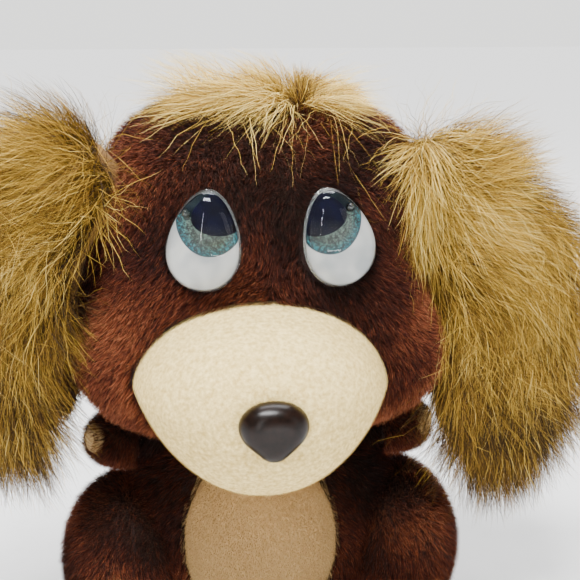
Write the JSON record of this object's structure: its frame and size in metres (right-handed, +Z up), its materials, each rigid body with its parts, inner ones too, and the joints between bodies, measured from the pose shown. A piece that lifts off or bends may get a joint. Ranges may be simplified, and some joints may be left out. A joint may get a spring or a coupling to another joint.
{
  "type": "interactive plush puppy",
  "caption": "Sitting plush puppy with long-haired ears, a felt muzzle and domed eyes; a battery unit inside turns its head and plays sounds when a paw is pressed.",
  "frame": {"origin": "centre of the flat seat panel's underside, on the neck's turning axis", "axes": "+Z up, -Y out of the face, +X towards the pet's own left"},
  "size_m": [0.436, 0.2749, 0.38],
  "materials": {
    "brown_plush": "matte",
    "gold_fur": "matte",
    "cream_felt": "matte",
    "tan_velour": "matte",
    "stuffing": "matte",
    "nose_plastic": "satin",
    "clear_plastic": "polished",
    "eye_white": "gloss",
    "iris_print": "gloss",
    "casing_plastic": "satin",
    "black_plastic": "matte",
    "gear_plastic": "satin",
    "board": "satin",
    "steel": "satin",
    "battery_jacket": "satin"
  },
  "bodies": {
    "torso": {"torso_skin": "brown_plush", "torso_stuffing": "stuffing", "belly_panel": "tan_velour", "seat_panel": "brown_plush", "tail": "brown_plush", "case_front": "casing_plastic", "case_rear": "casing_plastic", "bay_bezel": "casing_plastic", "battery_contact_low": "steel", "battery_contact_high": "steel", "power_switch": "black_plastic", "idler_axle": "steel", "motor": "steel", "gear_deck": "casing_plastic", "neck_bush": "black_plastic", "speaker": "black_plastic", "circuit_board": "board", "battery_cell_1": "battery_jacket", "battery_cell_2": "battery_jacket", "battery_cell_3": "battery_jacket", "leg_left": "brown_plush", "foot_sole_left": "tan_velour", "leg_right": "brown_plush", "foot_sole_right": "tan_velour"},
    "head": {"head_skin": "brown_plush", "head_stuffing": "stuffing", "crown_tuft": "gold_fur", "muzzle_cover": "cream_felt", "muzzle_former": "casing_plastic", "nose": "nose_plastic", "nose_washer": "casing_plastic", "neck_gear": "gear_plastic", "neck_shaft": "casing_plastic", "eye_back_left": "eye_white", "eye_print_left": "iris_print", "eye_lens_left": "clear_plastic", "eye_washer_left": "casing_plastic", "eye_back_right": "eye_white", "eye_print_right": "iris_print", "eye_lens_right": "clear_plastic", "eye_washer_right": "casing_plastic"},
    "ear_left": {"ear_fur_left": "gold_fur", "ear_lining_left": "brown_plush"},
    "arm_left": {"arm_left": "brown_plush", "paw_pad_left": "tan_velour", "paw_switch_left": "black_plastic", "shoulder_pin_left": "casing_plastic"},
    "paw_button_left": {"paw_plunger_left": "gear_plastic"},
    "ear_right": {"ear_fur_right": "gold_fur", "ear_lining_right": "brown_plush"},
    "arm_right": {"arm_right": "brown_plush", "paw_pad_right": "tan_velour", "paw_switch_right": "black_plastic", "shoulder_pin_right": "casing_plastic"},
    "paw_button_right": {"paw_plunger_right": "gear_plastic"},
    "idler_gear": {"compound_gear": "gear_plastic"},
    "motor_gear": {"motor_pinion": "gear_plastic"},
    "battery_door": {"battery_door": "casing_plastic", "door_screw": "steel"},
    "switch_slider": {"switch_slider": "black_plastic"}
  },
  "joints": [
    {"name": "head_turn", "type": "hinge", "parent": "torso", "child": "head", "pos_m": [0, 0, 0.16], "axis": [0, 0, 1], "range_deg": [-25, 25]},
    {"name": "ear_left_swing", "type": "hinge", "parent": "head", "child": "ear_left", "pos_m": [-0.09, -0.04, 0.34], "axis": [0, 1, 0], "range_deg": [0, 50]},
    {"name": "arm_left_swing", "type": "hinge", "parent": "torso", "child": "arm_left", "pos_m": [-0.084, 0, 0.139], "axis": [1, 0, 0], "range_deg": [-35, 60]},
    {"name": "paw_left_press", "type": "slide", "parent": "arm_left", "child": "paw_button_left", "axis": [0.8229, 0.5142, -0.2419], "range_m": [0, 0.0012], "stiffness_N_per_m": 250, "springref_m": -0.0008},
    {"name": "ear_right_swing", "type": "hinge", "parent": "head", "child": "ear_right", "pos_m": [0.09, -0.04, 0.34], "axis": [0, -1, 0], "range_deg": [0, 50]},
    {"name": "arm_right_swing", "type": "hinge", "parent": "torso", "child": "arm_right", "pos_m": [0.084, 0, 0.139], "axis": [1, 0, 0], "range_deg": [-35, 60]},
    {"name": "paw_right_press", "type": "slide", "parent": "arm_right", "child": "paw_button_right", "axis": [-0.8229, 0.5142, -0.2419], "range_m": [0, 0.0012], "stiffness_N_per_m": 250, "springref_m": -0.0008},
    {"name": "idler_spin", "type": "hinge", "parent": "torso", "child": "idler_gear", "pos_m": [0.018, 0.02012, 0.11], "axis": [0, 0, 1], "range_deg": [-101, 101]},
    {"name": "motor_spin", "type": "hinge", "parent": "torso", "child": "motor_gear", "pos_m": [0, 0.02012, 0.1045], "axis": [0, 0, 1], "range_deg": [-276, 276]},
    {"name": "battery_door_slide", "type": "slide", "parent": "torso", "child": "battery_door", "axis": [0, 1, 0], "range_m": [0, 0.03]},
    {"name": "power_switch_slide", "type": "slide", "parent": "torso", "child": "switch_slider", "axis": [1, 0, 0], "range_m": [0, 0.0044]}
  ],
  "couplings": [
    {"joint": "idler_spin", "follows": "head_turn", "ratio": -4},
    {"joint": "motor_spin", "follows": "head_turn", "ratio": 11}
  ]
}
